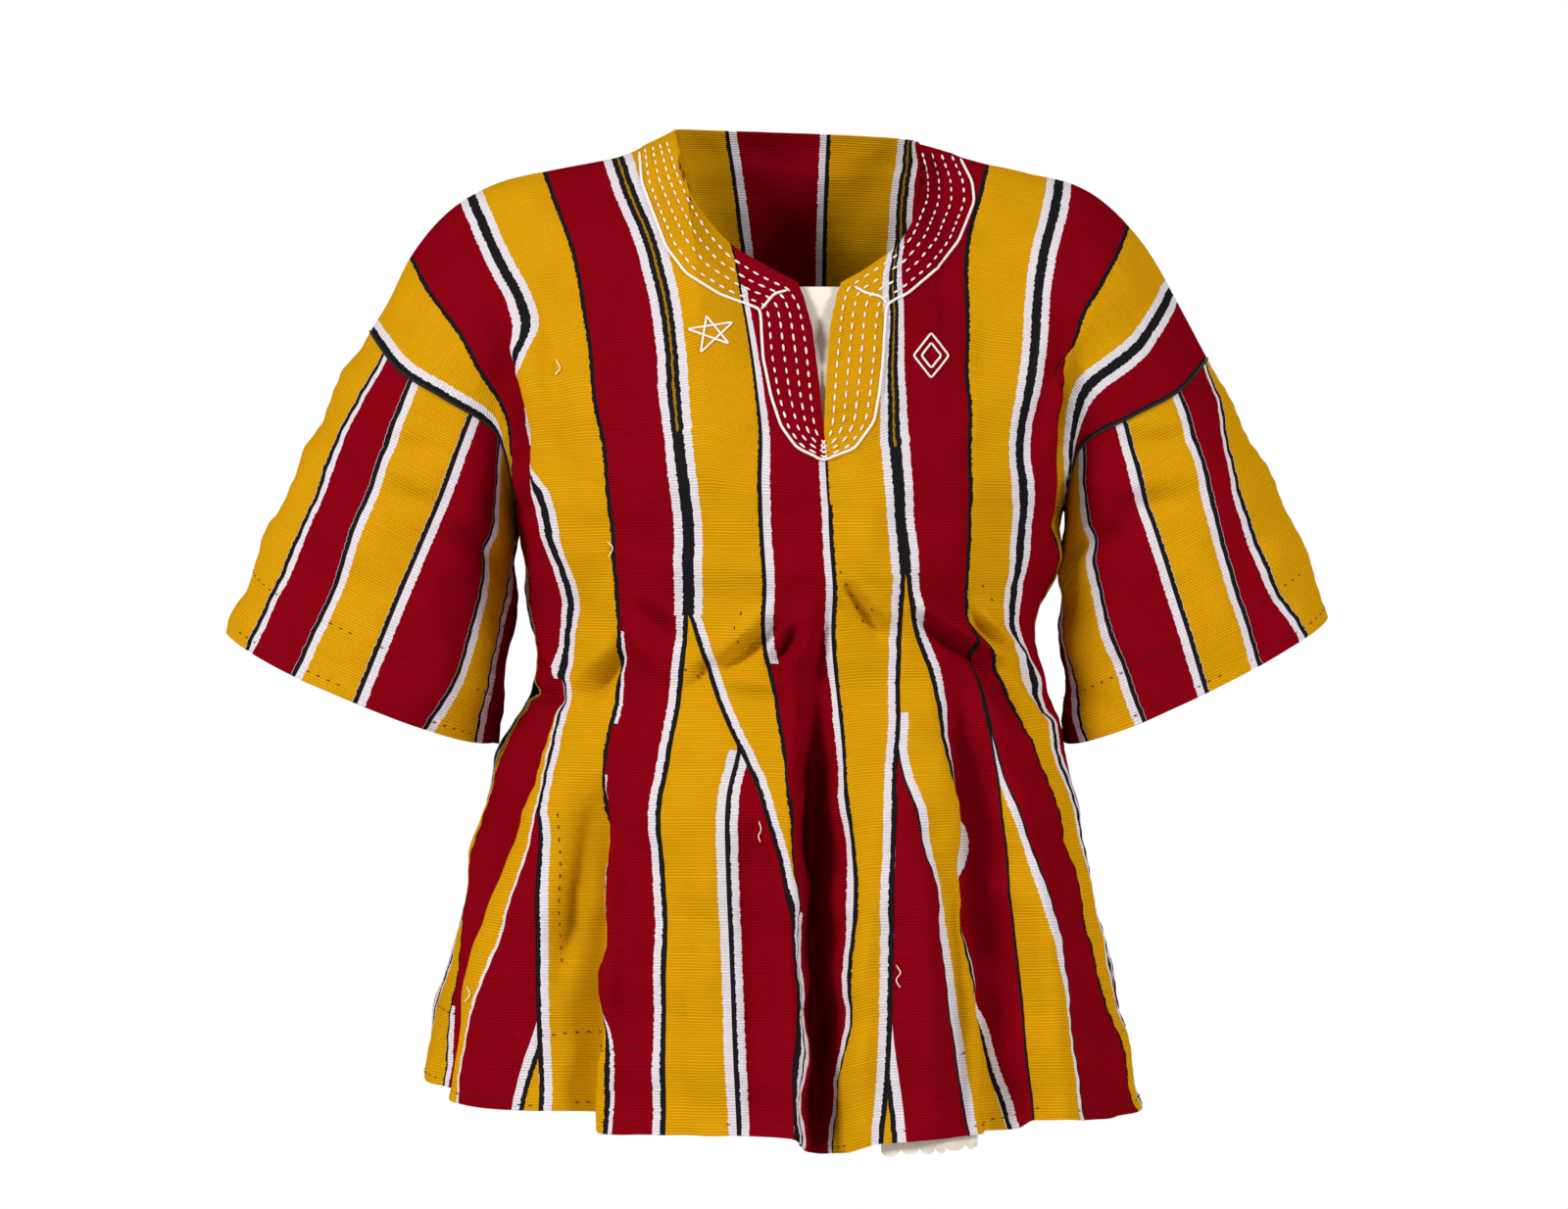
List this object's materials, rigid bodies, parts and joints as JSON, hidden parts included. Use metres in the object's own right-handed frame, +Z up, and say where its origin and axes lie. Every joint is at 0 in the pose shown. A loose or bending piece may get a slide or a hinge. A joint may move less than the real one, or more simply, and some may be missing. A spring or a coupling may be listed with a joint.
{
  "type": "smock top",
  "caption": "Hip-length strip-woven smock top with drop shoulders, wide elbow sleeves, a slit round neck and a gored skirt, open and hollow as worn.",
  "frame": {"origin": "middle of the neck at shoulder height, where the wearer carries the garment", "axes": "+Z up along the wearer, +X from the garment's left as seen from the front to its right as seen from the front, sleeve to sleeve, -Y out of the front"},
  "size_m": [0.7208, 0.3074, 0.6606],
  "materials": {
    "striped_cloth": "matt handwoven cotton with crosswise ribs, in golden, crimson, white and black warp stripes",
    "cream_lining": "matt plain-woven cotton",
    "black_thread": "matt seam thread",
    "white_thread": "matt embroidery cord and thread"
  },
  "bodies": {
    "root": {"front_panel": "striped_cloth", "back_panel": "striped_cloth", "sleeve_left": "striped_cloth", "sleeve_right": "striped_cloth", "front_gore_1": "striped_cloth", "front_gore_2": "striped_cloth", "front_gore_3": "striped_cloth", "front_gore_4": "striped_cloth", "back_gore_1": "striped_cloth", "back_gore_2": "striped_cloth", "back_gore_3": "striped_cloth", "back_gore_4": "striped_cloth", "slit_lining": "cream_lining", "skirt_lining": "cream_lining"}
  },
  "joints": []
}
